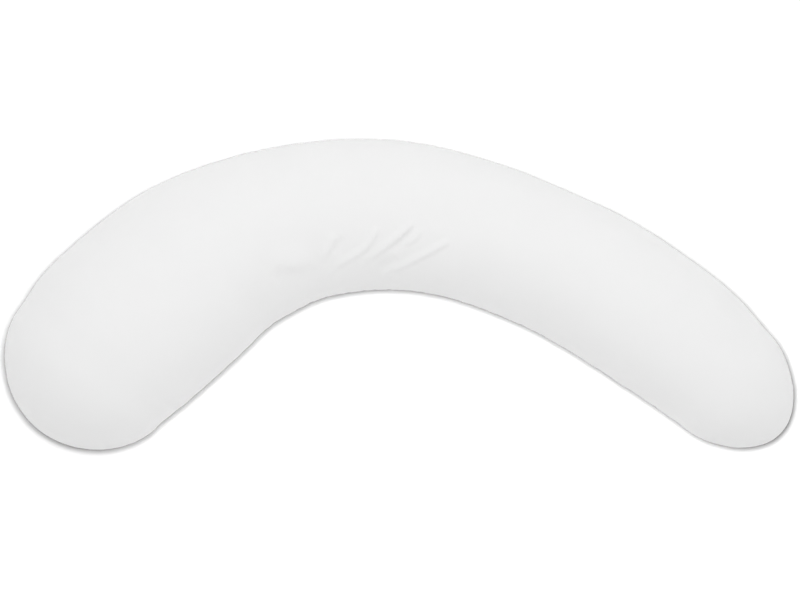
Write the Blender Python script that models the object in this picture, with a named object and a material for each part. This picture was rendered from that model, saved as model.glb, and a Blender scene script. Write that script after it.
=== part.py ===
"""Curved body pillow, lying on its back.

The pillow is one filled solid. Two crescent panels of plain cloth are sewn
together round the rim and filled with fibre, so a section across it is a lens
that draws in to the seam at both sides. It is fattest near one end, slims
along the arch and is slimmest at the other end. The cloth of the upper panel
gathers into a few soft creases on the inside of the bend. The underside is
flat where the pillow's weight presses it on the surface below.

Units are metres, with +Z up. The origin is on that surface, under the middle
of the pillow's box. +X runs along the pillow towards its slim end, and the
hollow of the crescent opens towards -Y.
"""

import math
from typing import NamedTuple

import bmesh
import bpy
from mathutils import Vector


class Section(NamedTuple):
    """A section across the pillow: the middle of it, and how big it is."""
    x: float
    y: float
    half_width: float
    thickness: float


class End(NamedTuple):
    """A closed end beyond the last section: how far it reaches, and its sections."""
    reach: float
    rings: int


class Crease(NamedTuple):
    """A soft ridge of gathered cloth along a few points (x, y) seen from above."""
    name: str
    points: tuple
    height: float
    half_width: float


class Band(NamedTuple):
    """A stretch of the upper panel's arc, up to a place from -1, inner rim, to 1, outer rim."""
    up_to: float
    steps: int


# Driving dimensions, from the fat end to the slim end.
SECTIONS = (
    Section(x=-0.557, y=-0.133, half_width=0.161, thickness=0.208),
    Section(x=-0.498, y=-0.069, half_width=0.171, thickness=0.219),
    Section(x=-0.389, y=0.025, half_width=0.169, thickness=0.218),
    Section(x=-0.292, y=0.085, half_width=0.154, thickness=0.207),
    Section(x=-0.171, y=0.128, half_width=0.140, thickness=0.194),
    Section(x=-0.029, y=0.141, half_width=0.133, thickness=0.185),
    Section(x=0.108, y=0.120, half_width=0.128, thickness=0.181),
    Section(x=0.246, y=0.069, half_width=0.126, thickness=0.179),
    Section(x=0.366, y=0.008, half_width=0.127, thickness=0.177),
    Section(x=0.497, y=-0.081, half_width=0.125, thickness=0.171),
    Section(x=0.578, y=-0.153, half_width=0.113, thickness=0.157),
)
FAT_END = End(reach=0.136, rings=11)
SLIM_END = End(reach=0.133, rings=11)

# The gathers on the inside of the bend, from the fat end's side to the slim end's.
CREASES = (
    Crease("step", ((-0.215, 0.046), (-0.184, 0.052), (-0.150, 0.054)), 0.0020, 0.014),
    Crease("short_gather", ((-0.144, 0.056), (-0.127, 0.075), (-0.113, 0.104)), 0.0024, 0.010),
    Crease("long_gather", ((-0.137, 0.024), (-0.109, 0.051), (-0.084, 0.066), (-0.061, 0.082),
                           (-0.045, 0.104), (-0.038, 0.127)), 0.0032, 0.011),
    Crease("middle_gather", ((-0.075, 0.047), (-0.052, 0.063), (-0.020, 0.089), (0.012, 0.114),
                             (0.028, 0.136)), 0.0034, 0.011),
    Crease("upper_gather", ((0.006, 0.088), (0.024, 0.097), (0.042, 0.120)), 0.0024, 0.009),
    Crease("low_gather", ((-0.045, 0.020), (-0.020, 0.038), (0.005, 0.050), (0.030, 0.063),
                          (0.058, 0.077), (0.092, 0.096)), 0.0034, 0.011),
)

# The lens of a section, in shares of its thickness, and the flat that it rests on.
SEAM_SHARE = 0.47         # height of the rim seam
BELLY_SHARE = 0.64        # drop of the lower panel below the seam, were nothing under it
RIM_ANGLE = math.radians(82)  # how far round each panel's arc turns before it meets the seam
FLAT_BLEND = 0.012        # the height over which the lower panel rolls off the surface

# How closely the form is divided.
COARSE_STEP = 0.024       # between sections along the plain stretches
FINE_STEP = 0.0068        # between sections along the creased stretch
CREASED_X = (-0.222, 0.105)   # the creased stretch
UPPER_BANDS = (Band(up_to=-0.86, steps=2), Band(up_to=0.12, steps=22), Band(up_to=1.0, steps=9))
LOWER_STEPS = 14
SPINE_SAMPLES = 1200
CREASE_FADE = 0.5         # below 1, a crease keeps its height longer before it fades at its ends

CLOTH_COLOUR = (0.88, 0.88, 0.88, 1.0)
CLOTH_ROUGHNESS = 0.9


class Station(NamedTuple):
    """A place along the spine, the section there, and how far into an end it is, up to 1.

    Into an end, narrowing and thinning are what each metre adds to the half width and thickness.
    """
    centre: Vector
    along: Vector
    half_width: float
    thickness: float
    reach: float = 0.0
    into_end: float = 0.0
    narrowing: float = 0.0
    thinning: float = 0.0


def curve_through(before, here, there, beyond, share):
    """Read a smooth curve between two of four values in a row, at a share of the way."""
    return 0.5 * (2.0 * here + (there - before) * share
                  + (2.0 * before - 5.0 * here + 4.0 * there - beyond) * share ** 2
                  + (3.0 * here - 3.0 * there + beyond - before) * share ** 3)


def one_beyond(last, inner):
    """Give the section beyond the last one, were the spine to run straight on."""
    return Section(*(2.0 * here - before for here, before in zip(last, inner)))


def station_at(place):
    """Give the station at a place from 0, the first section, to the last section's number."""
    rows = (one_beyond(SECTIONS[0], SECTIONS[1]),) + SECTIONS
    rows += (one_beyond(SECTIONS[-1], SECTIONS[-2]),)

    def read(spot):
        first = min(max(int(spot), 0), len(SECTIONS) - 2)
        return [curve_through(*values, spot - first) for values in zip(*rows[first:first + 4])]

    nudge = (len(SECTIONS) - 1) / SPINE_SAMPLES
    before = read(max(place - nudge, 0.0))
    after = read(min(place + nudge, len(SECTIONS) - 1.0))
    x, y, half_width, thickness = read(place)
    along = Vector((after[0] - before[0], after[1] - before[1], 0.0)).normalized()
    return Station(Vector((x, y, 0.0)), along, half_width, thickness)


def middle_stations():
    """Place the stations from the first section to the last, closer where the cloth creases."""
    samples = [station_at(i * (len(SECTIONS) - 1) / SPINE_SAMPLES) for i in range(SPINE_SAMPLES + 1)]
    chosen = [samples[0]]
    travelled = 0.0
    for before, here in zip(samples, samples[1:]):
        travelled += (here.centre - before.centre).length
        creased = CREASED_X[0] < here.centre.x < CREASED_X[1]
        if travelled >= (FINE_STEP if creased else COARSE_STEP):
            chosen.append(here)
            travelled = 0.0
    if travelled < COARSE_STEP / 2:
        chosen.pop()
    chosen.append(samples[-1])
    return chosen


def end_stations(base, inner, side, end):
    """List the stations of a closed end from its base outwards, leaving out the tip itself.

    The end goes on slimming as the stretch from the inner section to its base does. side is -1
    before the first section and 1 after the last.
    """
    gap = math.hypot(base.centre.x - inner.x, base.centre.y - inner.y)
    base = base._replace(reach=side * end.reach,
                         narrowing=(base.half_width - inner.half_width) / gap,
                         thinning=(base.thickness - inner.thickness) / gap)
    steps = [math.sin(0.5 * math.pi * ring / end.rings) for ring in range(1, end.rings)]
    return [base._replace(into_end=step) for step in steps]


def cloth_point(station, across, upper):
    """Give a point of a panel.

    across runs from -1 at the inner rim to 1 at the outer. Into an end, the panel is a half
    dome with the same arc in every direction, on top of the slimming.
    """
    sideways = across * math.sqrt(1.0 - station.into_end ** 2)
    span = math.hypot(station.into_end, sideways)
    drawn = math.sin(RIM_ANGLE * span) / (math.sin(RIM_ANGLE) * span) if span > 0.0 else 1.0
    bow = (math.cos(RIM_ANGLE * span) - math.cos(RIM_ANGLE)) / (1.0 - math.cos(RIM_ANGLE))
    outward = Vector((-station.along.y, station.along.x, 0.0))
    lengthwise = station.reach * station.into_end * drawn
    half_width = station.half_width + station.narrowing * abs(lengthwise)
    thickness = station.thickness + station.thinning * abs(lengthwise)
    point = station.centre + station.along * lengthwise + outward * (half_width * sideways * drawn)
    seam_height = SEAM_SHARE * thickness
    if upper:
        point.z = seam_height + (thickness - seam_height) * bow
    else:
        point.z = rest_on_surface(seam_height - BELLY_SHARE * thickness * bow)
    return point


def rest_on_surface(height):
    """Keep a height above the surface, rolling smoothly into an exact flat at zero."""
    if height >= FLAT_BLEND:
        return height
    if height <= -FLAT_BLEND:
        return 0.0
    return (height + FLAT_BLEND) ** 2 / (4.0 * FLAT_BLEND)


def upper_places():
    """List the places along the upper arc, from the inner rim to the outer."""
    places = [-1.0]
    for band in UPPER_BANDS:
        start = places[-1]
        places += [start + (band.up_to - start) * (i + 1) / band.steps for i in range(band.steps)]
    return places


def section_ring(station):
    """Give the points of a section, over the top to the outer rim and back underneath."""
    over = [cloth_point(station, place, upper=True) for place in upper_places()]
    lower_places = [1.0 - 2.0 * i / LOWER_STEPS for i in range(1, LOWER_STEPS)]
    return over + [cloth_point(station, place, upper=False) for place in lower_places]


def loft(form, rings, first_tip, last_tip):
    """Skin the rings, each with as many points, and close both ends in a tip."""
    rows = [[form.verts.new(point) for point in ring] for ring in rings]
    count = len(rows[0])
    for near, far in zip(rows, rows[1:]):
        for i in range(count):
            j = (i + 1) % count
            form.faces.new((near[i], near[j], far[j], far[i]))
    for tip, row in ((first_tip, rows[0]), (last_tip, rows[-1])):
        point = form.verts.new(tip)
        for i in range(count):
            form.faces.new((row[i], row[(i + 1) % count], point))
    bmesh.ops.recalc_face_normals(form, faces=form.faces)


def nearest_on(points, spot):
    """Give the distance from a spot to a line of points, and how far along the line that is."""
    lengths = [(q - p).length for p, q in zip(points, points[1:])]
    best = (math.inf, 0.0)
    done = 0.0
    for p, q, length in zip(points, points[1:], lengths):
        share = min(max((spot - p).dot(q - p) / length ** 2, 0.0), 1.0)
        distance = (spot - p.lerp(q, share)).length
        best = min(best, (distance, (done + share * length) / sum(lengths)))
        done += length
    return best


def raise_creases(form):
    """Lift the upper panel along each crease, highest mid-way and fading out at both ends."""
    form.normal_update()
    upper = [v for v in form.verts if v.normal.z > 0.0]
    for crease in CREASES:
        points = [Vector(point) for point in crease.points]
        for vert in upper:
            distance, share = nearest_on(points, vert.co.xy)
            if distance < crease.half_width:
                ridge = 0.5 + 0.5 * math.cos(math.pi * distance / crease.half_width)
                fade = math.sin(math.pi * share) ** CREASE_FADE
                vert.co += vert.normal * (crease.height * ridge * fade)


def centre_on_origin(form):
    """Move the form so that the middle of its box is over the origin."""
    for axis in (0, 1):
        values = [v.co[axis] for v in form.verts]
        middle = 0.5 * (min(values) + max(values))
        for vert in form.verts:
            vert.co[axis] -= middle


def cloth_material():
    """Make the plain near-white cloth of the cover."""
    material = bpy.data.materials.new("white_cloth")
    material.use_nodes = True
    shader = material.node_tree.nodes["Principled BSDF"]
    shader.inputs["Base Color"].default_value = CLOTH_COLOUR
    shader.inputs["Roughness"].default_value = CLOTH_ROUGHNESS
    shader.inputs["Metallic"].default_value = 0.0
    return material


def build_pillow(collection):
    """Build the filled pillow as one closed solid."""
    middle = middle_stations()
    fat_end = end_stations(middle[0], SECTIONS[1], -1.0, FAT_END)
    slim_end = end_stations(middle[-1], SECTIONS[-2], 1.0, SLIM_END)
    fat_tip = cloth_point(fat_end[0]._replace(into_end=1.0), 0.0, upper=True)
    slim_tip = cloth_point(slim_end[0]._replace(into_end=1.0), 0.0, upper=True)
    form = bmesh.new()
    loft(form, [section_ring(station) for station in fat_end[::-1] + middle + slim_end],
         fat_tip, slim_tip)
    raise_creases(form)
    centre_on_origin(form)
    mesh = bpy.data.meshes.new("pillow")
    form.to_mesh(mesh)
    form.free()
    mesh.shade_smooth()
    mesh.materials.append(cloth_material())
    pillow = bpy.data.objects.new("pillow", mesh)
    collection.objects.link(pillow)
    return pillow


def main():
    """Clear the scene and build the pillow in a collection of its own."""
    for old in list(bpy.data.objects):
        bpy.data.objects.remove(old)
    collection = bpy.data.collections.new("body_pillow")
    bpy.context.scene.collection.children.link(collection)
    build_pillow(collection)


if __name__ == "__main__":
    main()
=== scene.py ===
"""Dresses a long curved body pillow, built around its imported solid.

The cover is two crescent panels of plain white cotton, sewn together round the rim and filled with
fibre. The pillow lies on a brightly lit floor in soft light, and the camera looks straight down.
Units are metres, +Z is up, and everything is in the solid's own frame.
"""

from __future__ import annotations

import logging
import math
from dataclasses import dataclass, field
from enum import Enum

import bpy
import numpy as np
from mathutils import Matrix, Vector, noise
from mathutils.bvhtree import BVHTree
from mathutils.kdtree import KDTree


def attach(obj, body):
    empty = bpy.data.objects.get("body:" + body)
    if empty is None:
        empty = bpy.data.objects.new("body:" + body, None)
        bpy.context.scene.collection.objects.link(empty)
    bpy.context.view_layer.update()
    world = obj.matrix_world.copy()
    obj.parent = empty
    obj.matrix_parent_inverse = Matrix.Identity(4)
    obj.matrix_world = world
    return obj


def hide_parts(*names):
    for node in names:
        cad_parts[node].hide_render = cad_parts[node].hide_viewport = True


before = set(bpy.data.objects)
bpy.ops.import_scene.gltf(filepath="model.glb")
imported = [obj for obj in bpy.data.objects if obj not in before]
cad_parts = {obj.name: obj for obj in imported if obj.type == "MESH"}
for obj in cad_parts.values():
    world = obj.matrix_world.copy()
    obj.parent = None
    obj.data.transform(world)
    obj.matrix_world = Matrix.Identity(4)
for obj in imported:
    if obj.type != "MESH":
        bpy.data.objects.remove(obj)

log = logging.getLogger("body_pillow")

MM = 0.001
TINY = 1e-9
SOLID_NODE = "pillow"
PANEL_MAP = "panel_grain"
SEAM_EDGES = "crease_edge"
FROM_SEAM = "from_seam"


class Face(Enum):
    """The two panels of the cover."""

    UPPER = 1
    LOWER = -1


class Ease(Enum):
    """How fast a fold rises from its first point and falls to its last, per share of its length."""

    BOTH_ENDS = (4.0, 3.0)
    BLUNT_END = (2.2, 9.0)
    SOFT_ENDS = (2.0, 2.0)


# ---------------------------------------------------------------------------------------------
# Numbers and meshes
# ---------------------------------------------------------------------------------------------

def spline(rows: np.ndarray, places: np.ndarray) -> np.ndarray:
    """Read a smooth curve through rows of numbers, which runs straight on at both ends.

    Args:
        rows: One row for each named place, each with the same columns.
        places: Where to read, from 0 at the first row to len(rows) - 1 at the last.

    Returns:
        One row of columns for each place.
    """
    padded = np.vstack([2 * rows[0] - rows[1], rows, 2 * rows[-1] - rows[-2]])
    first = np.clip(np.floor(places).astype(int), 0, len(rows) - 2)
    share = (places - first)[:, None]
    a, b, c, d = (padded[first + i] for i in range(4))
    return 0.5 * (2 * b + (c - a) * share + (2 * a - 5 * b + 4 * c - d) * share**2
                  + (3 * b - 3 * c + d - a) * share**3)


def smooth_step(values: np.ndarray) -> np.ndarray:
    """Ease values from 0 to 1, flat at both ends."""
    held = np.clip(values, 0.0, 1.0)
    return held * held * (3.0 - 2.0 * held)


def turned(directions: np.ndarray) -> np.ndarray:
    """Turn plan directions a quarter turn to the left."""
    return np.stack([-directions[:, 1], directions[:, 0]], axis=1)


@dataclass(frozen=True)
class Wander:
    """Smooth noise in space, about -1 to 1.

    Its size is the usual distance between its highs, and its seed picks one of many such fields.
    """

    size: float
    seed: float

    def read(self, points: np.ndarray, shift: float = 0.0) -> np.ndarray:
        """Read the noise.

        Args:
            points: Rows of x, y, z.
            shift: Added to the seed, for another field of the same size.

        Returns:
            One value for each point.
        """
        seed = self.seed + shift
        away = Vector((seed, 2.0 * seed, -seed))
        return np.array([noise.noise(Vector(point) / self.size + away) for point in points])


def vectors(items: bpy.types.bpy_prop_collection, name: str) -> np.ndarray:
    """Read one vector of each item as rows of x, y, z."""
    flat = np.empty(len(items) * 3, np.float32)
    items.foreach_get(name, flat)
    return flat.reshape(-1, 3).astype(float)


def mesh_points(mesh: bpy.types.Mesh) -> np.ndarray:
    """Read a mesh's points as rows of x, y, z."""
    return vectors(mesh.vertices, "co")


def mesh_normals(mesh: bpy.types.Mesh) -> np.ndarray:
    """Read a mesh's vertex normals as rows of x, y, z."""
    return vectors(mesh.vertex_normals, "vector")


def set_points(mesh: bpy.types.Mesh, points: np.ndarray) -> None:
    """Write a mesh's points from rows of x, y, z."""
    mesh.vertices.foreach_set("co", points.astype(np.float32).ravel())
    mesh.update()


def edge_ends(mesh: bpy.types.Mesh) -> np.ndarray:
    """List the two vertices of each edge."""
    ends = np.empty(len(mesh.edges) * 2, np.int32)
    mesh.edges.foreach_get("vertices", ends)
    return ends.reshape(-1, 2)


def seam_edges(mesh: bpy.types.Mesh) -> np.ndarray:
    """List the two vertices of each edge of the rim seam."""
    marks = np.zeros(len(mesh.edges), np.float32)
    mesh.attributes[SEAM_EDGES].data.foreach_get("value", marks)
    return edge_ends(mesh)[marks > 0.5]


def onto_disc(across: np.ndarray, along: np.ndarray) -> tuple[np.ndarray, np.ndarray]:
    """Map places on a square, both from -1 to 1, onto a disc, so that its edge becomes round."""
    return across * np.sqrt(1.0 - 0.5 * along**2), along * np.sqrt(1.0 - 0.5 * across**2)


# ---------------------------------------------------------------------------------------------
# The form of the filled pillow
# ---------------------------------------------------------------------------------------------

@dataclass(frozen=True)
class Lens:
    """The section of the filled cover: two bowed panels that meet at the rim seam.

    The seam's height and the depth of the lower panel's bow are shares of the thickness.
    """

    seam_share: float = 0.47
    belly_share: float = 0.64
    rim_angle: float = math.radians(82)
    flat_blend: float = 12 * MM
    arc_points: int = 65

    def sideways(self, reach: np.ndarray) -> np.ndarray:
        """Give the plan distance from the middle for a share of the panel's arc."""
        return np.sin(self.rim_angle * reach) / math.sin(self.rim_angle)

    def bow(self, reach: np.ndarray) -> np.ndarray:
        """Give the height over the seam, 1 in the middle and 0 at the rim."""
        edge = math.cos(self.rim_angle)
        return (np.cos(self.rim_angle * reach) - edge) / (1.0 - edge)

    def heights(self, reach: np.ndarray, thickness: np.ndarray, face: Face) -> np.ndarray:
        """Give the height over the floor of points on a panel.

        Args:
            reach: Share of the panel's arc from its middle, 1 at the rim.
            thickness: The filled thickness there, in metres.
            face: Which panel.

        Returns:
            Heights in metres; the lower panel rolls into an exact flat at zero.
        """
        seam = self.seam_share * thickness
        if face is Face.UPPER:
            return seam + (thickness - seam) * self.bow(reach)
        free = seam - self.belly_share * thickness * self.bow(reach)
        rolled = (free + self.flat_blend) ** 2 / (4.0 * self.flat_blend)
        return np.where(free > self.flat_blend, free, np.where(free < -self.flat_blend, 0.0, rolled))

    def arc_length(self, half_width: np.ndarray, thickness: np.ndarray) -> np.ndarray:
        """Give the length of cloth from the middle of the upper panel to its rim."""
        reach = np.linspace(0.0, 1.0, self.arc_points)[:, None]
        across = self.sideways(reach) * half_width
        up = self.bow(reach) * thickness * (1.0 - self.seam_share)
        return np.hypot(np.diff(across, axis=0), np.diff(up, axis=0)).sum(axis=0)


@dataclass(frozen=True)
class End:
    """A closed end: how far it reaches, and what each metre into it adds to the section."""

    reach: float
    narrowing: float
    thinning: float


@dataclass
class Spine:
    """The line along the middle of the pillow, measured off its solid near a rough guide line."""

    guide: tuple[tuple[float, float], ...] = (
        (-0.555, -0.133), (-0.496, -0.069), (-0.387, 0.025), (-0.290, 0.085), (-0.169, 0.128),
        (-0.027, 0.141), (0.110, 0.120), (0.248, 0.069), (0.368, 0.008), (0.499, -0.081),
        (0.580, -0.153),
    )
    stations: int = 41
    slimming_stations: int = 3
    tangent_step: float = 0.02
    rows: np.ndarray = field(init=False)
    fat_end: End = field(init=False)
    slim_end: End = field(init=False)

    def measure(self, solid: bpy.types.Object, lens: Lens) -> None:
        """Take the middle, half width and thickness of the solid at each station.

        Args:
            solid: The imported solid.
            lens: The form of its sections, which says how high the rim is.
        """
        mesh = solid.data
        tree = BVHTree.FromPolygons([v.co for v in mesh.vertices],
                                    [p.vertices for p in mesh.polygons])

        def gap(start: Vector, way: Vector) -> float:
            """Measure from a point inside the solid to its surface."""
            return tree.ray_cast(start, way)[3]

        guide = np.array(self.guide)
        places = np.linspace(0.0, len(guide) - 1.0, self.stations)
        middles = spline(guide, places)
        ways = np.gradient(middles, axis=0)
        ways /= np.linalg.norm(ways, axis=1)[:, None]
        sides = turned(ways)
        rows = []
        for middle, side in zip(middles, sides):
            low = Vector((*middle, lens.flat_blend))
            thickness = gap(low, Vector((0.0, 0.0, 1.0))) + lens.flat_blend
            rim = Vector((*middle, lens.seam_share * thickness))
            left, right = gap(rim, Vector((*side, 0.0))), gap(rim, Vector((*-side, 0.0)))
            centre = middle + side * (0.5 * (left - right))
            rows.append((*centre, 0.5 * (left + right), thickness))
        self.rows = np.array(rows)
        corners = mesh_points(mesh)
        self.fat_end = self._end(corners, 0, self.slimming_stations, -ways[0])
        self.slim_end = self._end(corners, -1, -1 - self.slimming_stations, ways[-1])

    def _end(self, corners: np.ndarray, last: int, inner: int, way: np.ndarray) -> End:
        """Take how far an end of the solid reaches past its last station, and how it slims.

        Args:
            corners: The solid's points.
            last: The end's own station.
            inner: The station that the slimming is taken from.
            way: The plan direction into the end.

        Returns:
            The end.
        """
        reach = float(((corners[:, :2] - self.rows[last, :2]) @ way).max())
        step = self.rows[last] - self.rows[inner]
        slimming = step[2:] / np.linalg.norm(step[:2])
        return End(reach, float(slimming[0]), float(slimming[1]))

    def length(self) -> float:
        """Give the length between the first and last stations."""
        return float(np.linalg.norm(np.diff(self.rows[:, :2], axis=0), axis=1).sum())

    def read(self, places: np.ndarray) -> tuple[np.ndarray, np.ndarray, np.ndarray, np.ndarray]:
        """Read the spine.

        Args:
            places: Shares of the way from the first station to the last.

        Returns:
            Middles, directions, half widths and thicknesses.
        """
        last = len(self.rows) - 1.0
        at = np.clip(places, 0.0, 1.0) * last
        ahead = spline(self.rows, np.minimum(at + self.tangent_step, last))[:, :2]
        behind = spline(self.rows, np.maximum(at - self.tangent_step, 0.0))[:, :2]
        ways = (ahead - behind) / np.linalg.norm(ahead - behind, axis=1)[:, None]
        read = spline(self.rows, at)
        return read[:, :2], ways, read[:, 2], read[:, 3]


@dataclass(frozen=True)
class Fold:
    """A soft ridge of spare cloth, or a dip beside one, seen from above.

    It runs through a few points (x, y). Its left side is broad and its right side is steep.
    """

    name: str
    points: tuple[tuple[float, float], ...]
    height: float
    broad: float
    steep: float
    ease: Ease = Ease.BOTH_ENDS
    steps_between: int = 12

    def lift(self, plan: np.ndarray) -> np.ndarray:
        """Give the height of the fold at plan points (x, y)."""
        corners = np.array(self.points)
        last = len(corners) - 1
        line = spline(corners, np.linspace(0.0, last, self.steps_between * last + 1))
        steps = np.diff(line, axis=0)
        lengths = np.linalg.norm(steps, axis=1)
        done = np.concatenate([[0.0], np.cumsum(lengths)])
        nearest = np.full(len(plan), np.inf)
        along = np.zeros(len(plan))
        left = np.zeros(len(plan), bool)
        for start, step, length, before in zip(line, steps, lengths, done):
            share = np.clip((plan - start) @ step / length**2, 0.0, 1.0)
            away = plan - start - share[:, None] * step
            distance = np.linalg.norm(away, axis=1)
            closer = distance < nearest
            nearest[closer] = distance[closer]
            along[closer] = (before + share[closer] * length) / done[-1]
            left[closer] = (step[0] * away[:, 1] - step[1] * away[:, 0])[closer] > 0.0
        side = nearest / np.where(left, self.broad, self.steep)
        ridge = 0.5 + 0.5 * np.cos(math.pi * np.clip(side, 0.0, 1.0))
        rise, fall = self.ease.value
        return self.height * ridge * smooth_step(along * rise) * smooth_step((1.0 - along) * fall)


@dataclass(frozen=True)
class Filling:
    """The fibre inside: the cloth simulation that swells the cover, and soft lumps and tufts.

    Cloth lower than on_floor is held, and the lumps fade in from there up to floor_clearance.
    """

    pressure: float = 60.0
    vertex_mass: float = 0.02
    stiffness: float = 15.0
    shear_stiffness: float = 7.5
    bending: float = 0.5
    quality: int = 6
    frames: int = 20
    most_moved: float = 7 * MM
    most_spare: float = 0.03
    spare_patches: Wander = Wander(90 * MM, seed=5.0)
    on_floor: float = 0.1 * MM
    lump_height: float = 1.6 * MM
    lumps: Wander = Wander(150 * MM, seed=3.1)
    tuft_height: float = 0.5 * MM
    tufts: Wander = Wander(48 * MM, seed=7.7)
    floor_clearance: float = 25 * MM

    def swell(self, cover: bpy.types.Object, held: np.ndarray, spare: np.ndarray) -> None:
        """Swell the cover with pressure inside, and leave the result in its mesh.

        Args:
            cover: The closed cover.
            held: 1 for each vertex that stays, such as the seam and what lies on the floor.
            spare: 0 to 1 for each vertex, how much spare cloth there is.
        """
        mesh = cover.data
        rest = mesh_points(mesh)
        for name, weights in (("held", held), ("spare", spare)):
            group = cover.vertex_groups.new(name=name)
            for index in np.flatnonzero(weights > 0.0):
                group.add([int(index)], float(weights[index]), "REPLACE")
        modifier = cover.modifiers.new("filling", "CLOTH")
        cloth = modifier.settings
        cloth.quality = self.quality
        cloth.mass = self.vertex_mass
        cloth.tension_stiffness = self.stiffness
        cloth.compression_stiffness = self.stiffness
        cloth.shear_stiffness = self.shear_stiffness
        cloth.bending_stiffness = self.bending
        cloth.use_pressure = True
        cloth.uniform_pressure_force = self.pressure
        cloth.vertex_group_mass = "held"
        cloth.vertex_group_shrink = "spare"
        cloth.shrink_min = 0.0
        cloth.shrink_max = -self.most_spare
        cloth.effector_weights.gravity = 0.0
        modifier.collision_settings.use_collision = False
        modifier.point_cache.frame_start = 1
        modifier.point_cache.frame_end = self.frames
        scene = bpy.context.scene
        for step in range(1, self.frames + 1):
            scene.frame_set(step)
        evaluated = cover.evaluated_get(bpy.context.evaluated_depsgraph_get())
        swollen = mesh_points(evaluated.data)
        cover.modifiers.remove(modifier)
        cover.vertex_groups.clear()
        scene.frame_set(1)
        moved = swollen - rest
        far = np.linalg.norm(moved, axis=1)
        held_back = self.most_moved * np.tanh(far / self.most_moved) / np.maximum(far, TINY)
        log.info("the filling moves the cloth %.1f mm on average, %.1f mm at most",
                 far.mean() / MM, far.max() / MM)
        set_points(mesh, rest + moved * held_back[:, None])

    def settle(self, cover: bpy.types.Object) -> None:
        """Make the filling a little lumpy, all over but where it lies flat on the floor."""
        points, normals = mesh_points(cover.data), mesh_normals(cover.data)
        lift = self.lump_height * self.lumps.read(points)
        lift += self.tuft_height * self.tufts.read(points)
        lift *= smooth_step(points[:, 2] / self.floor_clearance)
        set_points(cover.data, points + normals * lift[:, None])


@dataclass(frozen=True)
class Puckers:
    """Short valleys that run in from the rim seam, with rounder cloth between them.

    A valley lies where the ripple crosses zero, is blunted by valley_round, and ends where the
    ripple is valley_side. The shares are of the depth, for the upper panel and for a straight
    rim. The usual and least reach, and where a valley is fully deep, are shares of the reach.
    """

    depth: float = 4.0 * MM
    reach: float = 58 * MM
    ripple: Wander = Wander(25 * MM, seed=11.0)
    valley_round: float = 0.06
    valley_side: float = 0.36
    upper_share: float = 0.38
    straight_share: float = 0.5
    depth_wander: Wander = Wander(75 * MM, seed=16.0)
    depth_change: float = 0.5
    reach_wander: Wander = Wander(50 * MM, seed=20.0)
    reach_change: float = 0.4
    usual_reach: float = 0.8
    least_reach: float = 0.4
    deep_from: float = 0.2

    def lift(self, distances: np.ndarray, feet: np.ndarray, sharpness: np.ndarray,
             face: Face) -> np.ndarray:
        """Give how far the puckers lift the cloth, which is never above zero.

        Args:
            distances: How far each point is from the seam.
            feet: The nearest place on the seam.
            sharpness: How sharply the seam turns there, from 0 where it is straight.
            face: Which panel the points are on.

        Returns:
            One lift for each point.
        """
        ripple = np.hypot(self.ripple.read(feet, face.value), self.valley_round)
        valley = (ripple - self.valley_side) / (self.valley_side - self.valley_round)
        strength = np.clip(sharpness, self.straight_share, 1.0)
        strength *= 1.0 + self.depth_change * self.depth_wander.read(feet, face.value)
        change = self.reach_change * self.reach_wander.read(feet, face.value)
        reach = self.reach * np.maximum(self.usual_reach + change, self.least_reach)
        rise = smooth_step(distances / (self.deep_from * self.reach))
        fall = smooth_step(1.0 - distances / reach)
        depth = self.depth * (self.upper_share if face is Face.UPPER else 1.0)
        return depth * np.minimum(valley, 0.0) * strength * rise * fall


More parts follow.
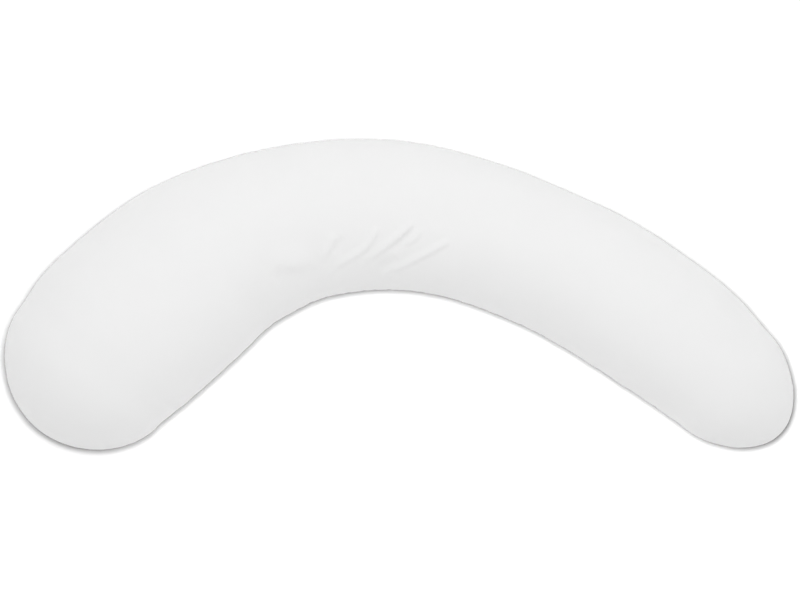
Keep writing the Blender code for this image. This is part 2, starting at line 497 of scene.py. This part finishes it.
@dataclass(frozen=True)
class RimSeam:
    """The plain seam that joins the panels round the rim, and what the cloth does beside it.

    The cloth is fuller beside it where the rim turns sharply, and full_bend is a sharp turn, as
    1 / radius. The two spans are in points of the seam.
    """

    depth: float = 1.7 * MM
    lips: float = 7.0 * MM
    fullness: float = 2.0 * MM
    full_bend: float = 6.0
    bend_span: int = 8
    outward_span: int = 3
    puckers: Puckers = Puckers()

    def loop(self, mesh: bpy.types.Mesh) -> np.ndarray:
        """List the points of the seam in order round the pillow."""
        neighbours: dict[int, list[int]] = {}
        for start, end in seam_edges(mesh).tolist():
            neighbours.setdefault(start, []).append(end)
            neighbours.setdefault(end, []).append(start)
        order = [min(neighbours)]
        before = -1
        while True:
            here = order[-1]
            step = next(other for other in neighbours[here] if other != before)
            if step == order[0]:
                break
            before = here
            order.append(step)
        return mesh_points(mesh)[order]

    def bend(self, loop: np.ndarray) -> np.ndarray:
        """Give how sharply the rim turns outwards at each of its points, as 1 / radius."""
        plan = loop[:, :2]
        back = plan - np.roll(plan, self.bend_span, axis=0)
        ahead = np.roll(plan, -self.bend_span, axis=0) - plan
        cross = back[:, 0] * ahead[:, 1] - back[:, 1] * ahead[:, 0]
        back_length, ahead_length = np.linalg.norm(back, axis=1), np.linalg.norm(ahead, axis=1)
        turn = np.arcsin(np.clip(cross / (back_length * ahead_length), -1.0, 1.0))
        turn /= 0.5 * (back_length + ahead_length)
        return turn * np.sign(turn.sum())

    def outwards(self, loop: np.ndarray) -> np.ndarray:
        """Give the level direction out of the pillow at each point of its rim."""
        plan, span = loop[:, :2], self.outward_span
        ways = np.roll(plan, -span, axis=0) - np.roll(plan, span, axis=0)
        ways /= np.linalg.norm(ways, axis=1)[:, None]
        ahead = np.roll(loop, -1, axis=0)
        doubled_area = (loop[:, 0] * ahead[:, 1] - loop[:, 1] * ahead[:, 0]).sum()
        return np.column_stack([-turned(ways) * np.sign(doubled_area), np.zeros(len(loop))])

    def measure(self, points: np.ndarray, loop: np.ndarray) -> tuple[np.ndarray, ...]:
        """Find where points are from the seam.

        Args:
            points: The points of the cover.
            loop: The points of the seam, in order.

        Returns:
            Distances from the seam, the nearest places on it, and the nearest of its points.
        """
        tree = KDTree(len(loop))
        for index, point in enumerate(loop):
            tree.insert(point, index)
        tree.balance()
        nearest = np.array([tree.find(point)[1] for point in points])
        distances = np.full(len(points), np.inf)
        feet = np.zeros_like(points)
        for first in (nearest - 1, nearest):
            start = loop[first]
            step = loop[(first + 1) % len(loop)] - start
            share = ((points - start) * step).sum(axis=1) / (step * step).sum(axis=1)
            foot = start + np.clip(share, 0.0, 1.0)[:, None] * step
            away = np.linalg.norm(points - foot, axis=1)
            closer = away < distances
            distances[closer] = away[closer]
            feet[closer] = foot[closer]
        return distances, feet, nearest

    def draw_in(self, cover: bpy.types.Object) -> None:
        """Sink the seam between the panels, and fill out and pucker the cloth beside it.

        Args:
            cover: The refined cover. It keeps each vertex's distance from the seam.
        """
        points, normals = mesh_points(cover.data), mesh_normals(cover.data)
        loop = self.loop(cover.data)
        distances, feet, nearest = self.measure(points, loop)
        sharpness = self.bend(loop)[nearest] / self.full_bend
        at_seam = np.clip(1.0 - distances / self.lips, 0.0, 1.0)
        ways = normals + (self.outwards(loop)[nearest] - normals) * at_seam[:, None]
        ways /= np.linalg.norm(ways, axis=1)[:, None]
        # The distance from the seam is kept for the cloth's painted shade in the seam's crease.
        attribute = cover.data.attributes.new(FROM_SEAM, "FLOAT", "POINT")
        attribute.data.foreach_set("value", distances.astype(np.float32))
        reach = self.puckers.reach
        swell = smooth_step(1.0 - distances / reach)
        lift = self.fullness * swell * np.clip(sharpness, 0.0, 1.0)
        lift -= self.depth * at_seam**2
        above = points[:, 2] >= feet[:, 2]
        near = distances < reach
        for face in Face:
            here = np.flatnonzero(near & (above == (face is Face.UPPER)))
            lift[here] += self.puckers.lift(distances[here], feet[here], np.abs(sharpness[here]),
                                            face)
        lift *= smooth_step(points[:, 2] / reach)
        set_points(cover.data, points + ways * lift[:, None])


@dataclass
class PillowCover:
    """The whole cover: both panels, the rim seam, the folds in the bend, and the cloth."""

    solid: bpy.types.Object
    lens: Lens = Lens()
    spine: Spine = field(default_factory=Spine)
    filling: Filling = Filling()
    seam: RimSeam = RimSeam()
    row_step: float = 9.8 * MM
    fine_row_step: float = 4.9 * MM
    fine_stretch: tuple[float, float] = (0.30, 0.62)
    columns: int = 46
    rim_columns: tuple[float, ...] = (2.4 * MM, 6.0 * MM)
    end_rows: int = 22
    folds: tuple[Fold, ...] = (
        Fold("short_fold", ((-0.142, 0.054), (-0.127, 0.078), (-0.112, 0.106)),
             height=2.6 * MM, broad=12 * MM, steep=7 * MM, ease=Ease.BLUNT_END),
        Fold("short_dip", ((-0.118, 0.070), (-0.108, 0.087), (-0.098, 0.104)),
             height=-2.2 * MM, broad=9 * MM, steep=11 * MM),
        Fold("long_fold", ((-0.137, 0.024), (-0.109, 0.051), (-0.084, 0.066), (-0.061, 0.082),
                           (-0.045, 0.104), (-0.040, 0.124)),
             height=3.3 * MM, broad=13 * MM, steep=7 * MM, ease=Ease.BLUNT_END),
        Fold("middle_fold", ((-0.075, 0.047), (-0.052, 0.063), (-0.020, 0.089), (0.012, 0.114),
                             (0.026, 0.133)),
             height=3.6 * MM, broad=13 * MM, steep=7 * MM, ease=Ease.BLUNT_END),
        Fold("middle_dip", ((-0.026, 0.072), (0.000, 0.090), (0.028, 0.124)),
             height=-2.4 * MM, broad=8 * MM, steep=9 * MM),
        Fold("upper_fold", ((0.006, 0.088), (0.024, 0.097), (0.042, 0.120)),
             height=2.5 * MM, broad=10 * MM, steep=7 * MM),
        Fold("low_fold", ((-0.045, 0.020), (-0.020, 0.038), (0.005, 0.050), (0.030, 0.063),
                          (0.058, 0.077), (0.092, 0.096)),
             height=3.8 * MM, broad=13 * MM, steep=7 * MM, ease=Ease.BLUNT_END),
        Fold("low_dip", ((-0.040, 0.042), (-0.020, 0.055), (0.000, 0.066)),
             height=-2.2 * MM, broad=16 * MM, steep=12 * MM),
        Fold("wide_step", ((-0.246, 0.040), (-0.190, 0.056), (-0.132, 0.056)),
             height=5.2 * MM, broad=40 * MM, steep=22 * MM, ease=Ease.SOFT_ENDS),
        Fold("soft_dimple", ((-0.208, 0.058), (-0.216, 0.036), (-0.222, 0.014)),
             height=-1.2 * MM, broad=9 * MM, steep=9 * MM),
    )

    def row_places(self) -> tuple[np.ndarray, np.ndarray]:
        """List the rows of the grid from the fat end's tip to the slim end's.

        Returns:
            The rows' shares of the way along the spine, and how far into an end each is: -1 at
            the fat end's rim, 0 between the ends, 1 at the slim end's rim.
        """
        length = self.spine.length()
        places = [0.0]
        while places[-1] < 1.0:
            fine = self.fine_stretch[0] < places[-1] < self.fine_stretch[1]
            places.append(places[-1] + (self.fine_row_step if fine else self.row_step) / length)
        middle = np.array(places) / places[-1]
        rim = [step / self.spine.fat_end.reach for step in reversed(self.rim_columns)]
        inner = np.linspace(0.0, 1.0 - rim[0] - 1.0 / self.end_rows, self.end_rows)[1:]
        end = np.concatenate([inner, [1.0 - gap for gap in rim], [1.0]])
        along = np.concatenate([np.zeros(len(end)), middle, np.ones(len(end))])
        into = np.concatenate([-end[::-1], np.zeros(len(middle)), end])
        return along, into

    def column_places(self) -> np.ndarray:
        """List the columns of the grid, from -1 at the inner rim to 1 at the outer."""
        widest = float(self.lens.arc_length(self.spine.rows[:, 2], self.spine.rows[:, 3]).mean())
        rim = [step / widest for step in reversed(self.rim_columns)]
        side = np.linspace(0.0, 1.0 - rim[0], self.columns // 2)
        half = np.concatenate([side[1:-1], [1.0 - gap for gap in rim], [1.0]])
        return np.concatenate([-half[::-1], [0.0], half])

    def form(self, along: np.ndarray, into: np.ndarray, across: np.ndarray,
             face: Face) -> tuple[np.ndarray, np.ndarray]:
        """Work out points of a panel.

        Args:
            along: Shares of the way along the spine.
            into: How far into an end, as in row_places.
            across: Column places, as in column_places.
            face: Which panel.

        Returns:
            The points, and the same points on the flat panel before it was sewn and filled.
        """
        middles, ways, half_widths, thicknesses = self.spine.read(along)
        sides = turned(ways)
        fat, slim = self.spine.fat_end, self.spine.slim_end
        reaches = np.where(into < 0.0, fat.reach, slim.reach)
        sideways, lengthwise = onto_disc(across, into)
        reach = np.minimum(np.hypot(lengthwise, sideways), 1.0)
        drawn = np.divide(self.lens.sideways(reach), reach, out=np.ones_like(reach),
                          where=reach > 0.0)
        beyond = lengthwise * reaches * drawn
        narrowing = np.where(into < 0.0, fat.narrowing, slim.narrowing)
        thinning = np.where(into < 0.0, fat.thinning, slim.thinning)
        half_widths = half_widths + np.abs(beyond) * narrowing
        thicknesses = thicknesses + np.abs(beyond) * thinning
        plan = (middles + ways * beyond[:, None]
                + sides * (sideways * half_widths * drawn)[:, None])
        height = self.lens.heights(reach, thicknesses, face)
        cloth_along = self.lens.arc_length(reaches, thicknesses)
        cloth_across = self.lens.arc_length(half_widths, thicknesses)
        flat = (middles + ways * (lengthwise * cloth_along)[:, None]
                + sides * (sideways * cloth_across)[:, None])
        return np.column_stack([plan, height]), flat

    def build(self) -> bpy.types.Object:
        """Build the two panels as one closed mesh, with its panel map.

        Returns:
            The cover, not yet filled.
        """
        along, into = self.row_places()
        across = self.column_places()
        rows, columns = len(along), len(across)
        log.info("the panels have %d rows of %d points", rows, columns)
        grid = [np.repeat(along, columns), np.repeat(into, columns), np.tile(across, rows)]
        upper, upper_flat = self.form(*grid, Face.UPPER)
        lower, lower_flat = self.form(*grid, Face.LOWER)
        index = np.arange(rows * columns).reshape(rows, columns)
        on_rim = np.ones((rows, columns), bool)
        on_rim[1:-1, 1:-1] = False
        under = index.copy()
        under[~on_rim] = rows * columns + np.arange((~on_rim).sum())
        faces = []
        for table, backwards in ((index, False), (under, True)):
            quads = np.stack([table[:-1, :-1], table[1:, :-1], table[1:, 1:], table[:-1, 1:]],
                             axis=-1).reshape(-1, 4)
            faces.append(quads[:, ::-1] if backwards else quads)
        points = np.vstack([upper, lower[~on_rim.ravel()]])
        mesh = bpy.data.meshes.new("pillow_cover")
        mesh.from_pydata(points.tolist(), [], np.vstack(faces).tolist())
        mesh.update(calc_edges=True)
        self._map_panels(mesh, rows * columns, (rows - 1) * (columns - 1), upper_flat, lower_flat,
                         on_rim)
        self._mark_seam(mesh, on_rim.ravel())
        cover = bpy.data.objects.new("pillow_cover", mesh)
        bpy.context.scene.collection.objects.link(cover)
        return cover

    def _map_panels(self, mesh: bpy.types.Mesh, upper_points: int, upper_faces: int,
                    upper_flat: np.ndarray, lower_flat: np.ndarray, on_rim: np.ndarray) -> None:
        """Write the flat panels as a map, in metres, the lower panel beside the upper."""
        below = np.array([0.0, -1.0])
        flat_upper = np.vstack([upper_flat, lower_flat[~on_rim.ravel()] + below])
        flat_lower = flat_upper.copy()
        flat_lower[:upper_points] = lower_flat + below
        corners = np.empty(len(mesh.loops), np.int32)
        mesh.loops.foreach_get("vertex_index", corners)
        first_lower = 4 * upper_faces
        places = np.vstack([flat_upper[corners[:first_lower]], flat_lower[corners[first_lower:]]])
        layer = mesh.uv_layers.new(name=PANEL_MAP)
        layer.uv.foreach_set("vector", places.astype(np.float32).ravel())

    def _mark_seam(self, mesh: bpy.types.Mesh, on_rim: np.ndarray) -> None:
        """Mark the rim seam, which also keeps it sharp when the mesh is subdivided."""
        seam = np.zeros(len(mesh.vertices), bool)
        seam[:len(on_rim)] = on_rim
        sharp = seam[edge_ends(mesh)].all(axis=1)
        marks = mesh.attributes.new(SEAM_EDGES, "FLOAT", "EDGE")
        marks.data.foreach_set("value", sharp.astype(np.float32))

    def refine(self, cover: bpy.types.Object) -> None:
        """Subdivide the cover once, for good."""
        modifier = cover.modifiers.new("refine", "SUBSURF")
        modifier.levels = 1
        modifier.render_levels = 1
        evaluated = cover.evaluated_get(bpy.context.evaluated_depsgraph_get())
        mesh = bpy.data.meshes.new_from_object(evaluated)
        cover.modifiers.remove(modifier)
        cover.data = mesh

    def fill(self, cover: bpy.types.Object) -> None:
        """Swell the cover with its filling, holding the seam and what lies on the floor."""
        points = mesh_points(cover.data)
        held = (points[:, 2] < self.filling.on_floor).astype(float)
        held[seam_edges(cover.data).ravel()] = 1.0
        spare = 0.5 + 0.5 * self.filling.spare_patches.read(points)
        self.filling.swell(cover, held, np.clip(spare, 0.0, 1.0))

    def fold(self, cover: bpy.types.Object) -> None:
        """Raise the folds of spare cloth on the upper panel, inside the bend."""
        points, normals = mesh_points(cover.data), mesh_normals(cover.data)
        upper = np.flatnonzero(normals[:, 2] > 0.0)
        raised, sunk = np.zeros(len(points)), np.zeros(len(points))
        for fold in self.folds:
            lift = fold.lift(points[upper, :2])
            raised[upper] = np.maximum(raised[upper], lift)
            sunk[upper] = np.minimum(sunk[upper], lift)
        set_points(cover.data, points + normals * (raised + sunk)[:, None])

    def make(self) -> bpy.types.Object:
        """Build, fill and finish the cover.

        Returns:
            The finished cover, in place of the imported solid.
        """
        self.spine.measure(self.solid, self.lens)
        cover = self.build()
        self.fill(cover)
        self.refine(cover)
        self.filling.settle(cover)
        self.fold(cover)
        self.seam.draw_in(cover)
        cover.data.shade_smooth()
        cover.data.materials.append(CottonCloth().material())
        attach(cover, "root")
        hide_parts(SOLID_NODE)
        return cover


# ---------------------------------------------------------------------------------------------
# Finishes
# ---------------------------------------------------------------------------------------------

@dataclass(frozen=True)
class Graph:
    """Adds nodes to a node tree and links them as it goes."""

    tree: bpy.types.NodeTree

    def add(self, kind: str, **inputs: object) -> bpy.types.Node:
        """Add a node.

        Args:
            kind: The node's type, without "ShaderNode" in front.
            inputs: Sockets to link or values to set, by input name with _ for each space.

        Returns:
            The node.
        """
        node = self.tree.nodes.new("ShaderNode" + kind)
        for name, value in inputs.items():
            self._feed(node.inputs[name.replace("_", " ")], value)
        return node

    def maths(self, operation: str, *values: object) -> bpy.types.NodeSocket:
        """Add a Math node, and give its result."""
        node = self.tree.nodes.new("ShaderNodeMath")
        node.operation = operation
        for socket, value in zip(node.inputs, values):
            self._feed(socket, value)
        return node.outputs["Value"]

    def _feed(self, socket: bpy.types.NodeSocket, value: object) -> None:
        """Link or set one input."""
        if isinstance(value, bpy.types.NodeSocket):
            self.tree.links.new(value, socket)
        else:
            socket.default_value = value

    def effect(self, group: bpy.types.NodeTree, **inputs: object) -> bpy.types.Node:
        """Place a node group, with its own values."""
        node = self.tree.nodes.new("ShaderNodeGroup")
        node.node_tree = group
        for name, value in inputs.items():
            self._feed(node.inputs[name], value)
        return node


def effect_tree(name: str, places: tuple[str, ...], numbers: dict[str, float],
                results: tuple[str, ...]) -> bpy.types.NodeTree:
    """Start a shader node group with named sockets.

    Args:
        name: The effect's name.
        places: Names of its vector inputs.
        numbers: Its number inputs and their usual values.
        results: Names of its outputs, all numbers.

    Returns:
        The group, with only its input and output nodes.
    """
    tree = bpy.data.node_groups.new(name, "ShaderNodeTree")
    for place in places:
        tree.interface.new_socket(name=place, in_out="INPUT", socket_type="NodeSocketVector")
    for number, usual in numbers.items():
        socket = tree.interface.new_socket(name=number, in_out="INPUT",
                                           socket_type="NodeSocketFloat")
        socket.default_value = usual
    for result in results:
        tree.interface.new_socket(name=result, in_out="OUTPUT", socket_type="NodeSocketFloat")
    tree.nodes.new("NodeGroupInput")
    tree.nodes.new("NodeGroupOutput")
    return tree


def plain_weave() -> bpy.types.NodeTree:
    """Get the effect of a plain weave of slightly uneven threads, on a flat map in metres.

    A thread stands higher where it crosses over another. The sizes of its slubs are in threads.
    """
    name = "plain_weave"
    if name in bpy.data.node_groups:
        return bpy.data.node_groups[name]
    crossing_rise = 0.35
    slub_width, slub_length = 2.5, 70.0
    tree = effect_tree(name, ("Map",), {"Thread": 0.45 * MM, "Slub": 0.3}, ("Height", "Tone"))
    graph = Graph(tree)
    given, result = tree.nodes["Group Input"].outputs, tree.nodes["Group Output"].inputs
    parts = graph.add("SeparateXYZ", Vector=given["Map"]).outputs
    place = [graph.maths("DIVIDE", parts[axis], given["Thread"]) for axis in ("X", "Y")]
    waves = [graph.maths("SINE", graph.maths("MULTIPLY", at, math.pi)) for at in place]
    over = graph.maths("MULTIPLY", graph.maths("MULTIPLY", *waves), crossing_rise)
    warp, weft = (
        graph.maths("MULTIPLY", graph.maths("ABSOLUTE", wave),
                    graph.maths(operation, 1.0 - crossing_rise, over))
        for wave, operation in zip(waves, ("ADD", "SUBTRACT")))
    slubs = []
    for wide, long in (place, place[::-1]):
        streak = graph.add("CombineXYZ", X=graph.maths("DIVIDE", wide, slub_width),
                           Y=graph.maths("DIVIDE", long, slub_length))
        noise_node = graph.add("TexNoise", Vector=streak.outputs["Vector"], Scale=1.0, Detail=1.0)
        slubs.append(noise_node.outputs["Fac"])
    slub = graph.maths("MULTIPLY", graph.maths("ADD", *slubs), 0.5)
    thick = graph.maths("MULTIPLY", slub, given["Slub"])
    graph.tree.links.new(graph.maths("ADD", graph.maths("MAXIMUM", warp, weft), thick),
                         result["Height"])
    graph.tree.links.new(slub, result["Tone"])
    return tree


def soft_unevenness() -> bpy.types.NodeTree:
    """Get the effect of soft patches that differ a little, from 0 to 1 and mostly near a half."""
    name = "soft_unevenness"
    if name in bpy.data.node_groups:
        return bpy.data.node_groups[name]
    tree = effect_tree(name, ("Place",), {"Size": 60 * MM, "Contrast": 1.0}, ("Value",))
    graph = Graph(tree)
    given, result = tree.nodes["Group Input"].outputs, tree.nodes["Group Output"].inputs
    scale = graph.maths("DIVIDE", 1.0, given["Size"])
    patches = graph.add("TexNoise", Vector=given["Place"], Scale=scale, Detail=3.0, Roughness=0.55)
    centred = graph.maths("SUBTRACT", patches.outputs["Fac"], 0.5)
    spread = graph.maths("MULTIPLY_ADD", centred, given["Contrast"], 0.5)
    held = graph.add("Clamp", Value=spread)
    graph.tree.links.new(held.outputs["Result"], result["Value"])
    return tree


@dataclass(frozen=True)
class CottonCloth:
    """Plain near-white cotton, closely woven and matt, with painted shade that darkens the seam's
    crease.
    """

    colour: tuple[float, float, float, float] = (0.845, 0.845, 0.845, 1.0)
    # The dark end of the tone ramp. It serves both the cloth's uneven tone and the painted shade in
    # the seam's crease.
    shade: tuple[float, float, float, float] = (0.50, 0.50, 0.50, 1.0)
    roughness: tuple[float, float] = (0.84, 0.95)
    sheen: float = 0.06
    thread: float = 0.42 * MM
    slub: float = 0.35
    thread_relief: float = 0.09 * MM
    patch_size: float = 70 * MM
    patch_contrast: float = 1.6
    patch_tone: float = 0.035
    slub_tone: float = 0.05
    # How far from the seam, and how strongly, the painted shade darkens the cloth in the seam's
    # crease.
    crease_shade_width: float = 1.9 * MM
    painted_crease_shade: float = 0.8

    def material(self) -> bpy.types.Material:
        """Make the cloth's material."""
        material = bpy.data.materials.new("white_cotton")
        material.use_nodes = True
        graph = Graph(material.node_tree)
        shader = material.node_tree.nodes["Principled BSDF"]
        panels = graph.add("UVMap")
        panels.uv_map = PANEL_MAP
        weave = graph.effect(plain_weave(), Map=panels.outputs["UV"], Thread=self.thread,
                             Slub=self.slub)
        place = graph.add("TexCoord").outputs["Object"]
        patches = graph.effect(soft_unevenness(), Place=place, Size=self.patch_size,
                               Contrast=self.patch_contrast)
        # Painted shade: the cloth darkens towards the rim seam, standing in for the shadow in its
        # crease.
        away = graph.add("Attribute")
        away.attribute_name = FROM_SEAM
        crease = graph.add("MapRange", Value=away.outputs["Fac"], From_Min=0.0,
                           From_Max=self.crease_shade_width, To_Min=self.painted_crease_shade, To_Max=0.0)
        # The darkening adds the uneven tone of slubs and patches to the painted crease shade.
        dull = graph.maths("MULTIPLY_ADD", weave.outputs["Tone"], self.slub_tone,
                           crease.outputs["Result"])
        dull = graph.maths("MULTIPLY_ADD", patches.outputs["Value"], self.patch_tone, dull)
        tone = graph.add("ValToRGB", Fac=dull)
        tone.color_ramp.elements[0].color = self.colour
        tone.color_ramp.elements[1].color = self.shade
        rough = graph.add("MapRange", Value=patches.outputs["Value"], To_Min=self.roughness[0],
                          To_Max=self.roughness[1])
        relief = graph.add("Bump", Height=weave.outputs["Height"], Distance=self.thread_relief)
        links = material.node_tree.links
        links.new(tone.outputs["Color"], shader.inputs["Base Color"])
        links.new(rough.outputs["Result"], shader.inputs["Roughness"])
        links.new(relief.outputs["Normal"], shader.inputs["Normal"])
        shader.inputs["Sheen Weight"].default_value = self.sheen
        return material


@dataclass(frozen=True)
class PaleFloor:
    """A plain smooth floor, a little uneven in tone, which its own lamp makes nearly white."""

    pale: tuple[float, float, float, float] = (0.21, 0.21, 0.21, 1.0)
    dull: tuple[float, float, float, float] = (0.197, 0.197, 0.197, 1.0)
    roughness: float = 0.9
    patch_size: float = 450 * MM
    patch_contrast: float = 1.5

    def material(self) -> bpy.types.Material:
        """Make the floor's material."""
        material = bpy.data.materials.new("pale_floor")
        material.use_nodes = True
        graph = Graph(material.node_tree)
        shader = material.node_tree.nodes["Principled BSDF"]
        place = graph.add("TexCoord").outputs["Object"]
        patches = graph.effect(soft_unevenness(), Place=place, Size=self.patch_size,
                               Contrast=self.patch_contrast)
        tone = graph.add("ValToRGB", Fac=patches.outputs["Value"])
        tone.color_ramp.elements[0].color = self.dull
        tone.color_ramp.elements[1].color = self.pale
        material.node_tree.links.new(tone.outputs["Color"], shader.inputs["Base Color"])
        shader.inputs["Roughness"].default_value = self.roughness
        return material


# ---------------------------------------------------------------------------------------------
# Floor, light and camera
# ---------------------------------------------------------------------------------------------

class Lights(Enum):
    """What a lamp lights."""

    EVERYTHING = "everything"
    FLOOR = "the floor alone"


@dataclass(frozen=True)
class Lamp:
    """A square softbox that points at the pillow.

    Its bearing is in degrees from +Y towards +X, and its rise in degrees over the floor.
    """

    name: str
    bearing: float
    rise: float
    distance: float
    side: float
    power: float
    lights: Lights = Lights.EVERYTHING

    def hang(self, floor: bpy.types.Object) -> None:
        """Hang the lamp. Some lamps light the floor alone."""
        bearing, rise = math.radians(self.bearing), math.radians(self.rise)
        place = self.distance * Vector((math.sin(bearing) * math.cos(rise),
                                        math.cos(bearing) * math.cos(rise), math.sin(rise)))
        lamp = bpy.data.lights.new(self.name, "AREA")
        lamp.size = self.side
        lamp.energy = self.power
        softbox = bpy.data.objects.new(self.name, lamp)
        softbox.location = place
        softbox.rotation_euler = (-place).to_track_quat("-Z", "Y").to_euler()
        softbox.visible_camera = False
        if self.lights is Lights.FLOOR:
            only_floor = bpy.data.collections.new("lit_by_" + self.name)
            only_floor.objects.link(floor)
            softbox.light_linking.receiver_collection = only_floor
        bpy.context.scene.collection.objects.link(softbox)


@dataclass(frozen=True)
class Studio:
    """The floor, the soft light and the camera far above."""

    floor_side: float = 24.0
    sky: float = 0.76
    lamps: tuple[Lamp, ...] = (
        Lamp("top_softbox", bearing=0.0, rise=86.0, distance=4.0, side=0.6, power=30.0),
        Lamp("right_softbox", bearing=50.0, rise=45.0, distance=4.0, side=2.4, power=15.0),
        Lamp("left_softbox", bearing=-50.0, rise=45.0, distance=4.0, side=2.4, power=12.0),
        Lamp("floor_softbox", bearing=-22.0, rise=87.9, distance=10.0, side=1.7, power=4100.0,
             lights=Lights.FLOOR),
    )
    camera_height: float = 20.0
    frame_width: float = 1.4189
    aim: tuple[float, float] = (0.0004, -0.0093)
    aim_height: float = 0.09

    def floor(self) -> bpy.types.Object:
        """Lay the floor that the pillow lies on."""
        bpy.ops.mesh.primitive_plane_add(size=self.floor_side)
        floor = bpy.context.object
        floor.name = "floor"
        floor.data.materials.append(PaleFloor().material())
        return floor

    def light(self, floor: bpy.types.Object) -> None:
        """Light the scene evenly, a little more from the far side."""
        world = bpy.data.worlds.new("studio")
        world.use_nodes = True
        background = world.node_tree.nodes["Background"]
        background.inputs["Color"].default_value = (1.0, 1.0, 1.0, 1.0)
        background.inputs["Strength"].default_value = self.sky
        bpy.context.scene.world = world
        for lamp in self.lamps:
            lamp.hang(floor)
        bpy.context.scene.view_settings.view_transform = "Standard"

    def camera(self) -> None:
        """Look straight down on the pillow, with the slim end on the right."""
        lens = bpy.data.cameras.new("overhead")
        lens.lens = lens.sensor_width * (self.camera_height - self.aim_height) / self.frame_width
        camera = bpy.data.objects.new("overhead", lens)
        camera.location = (*self.aim, self.camera_height)
        bpy.context.scene.collection.objects.link(camera)
        bpy.context.scene.camera = camera


def main() -> None:
    """Build the cover, the studio and the camera, in order."""
    logging.basicConfig(level=logging.INFO, format="%(name)s: %(message)s")
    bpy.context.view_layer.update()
    studio = Studio()
    studio.camera()
    studio.light(studio.floor())
    cover = PillowCover(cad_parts[SOLID_NODE]).make()
    log.info("%s has %d faces", cover.name, len(cover.data.polygons))


if __name__ == "__main__":
    main()
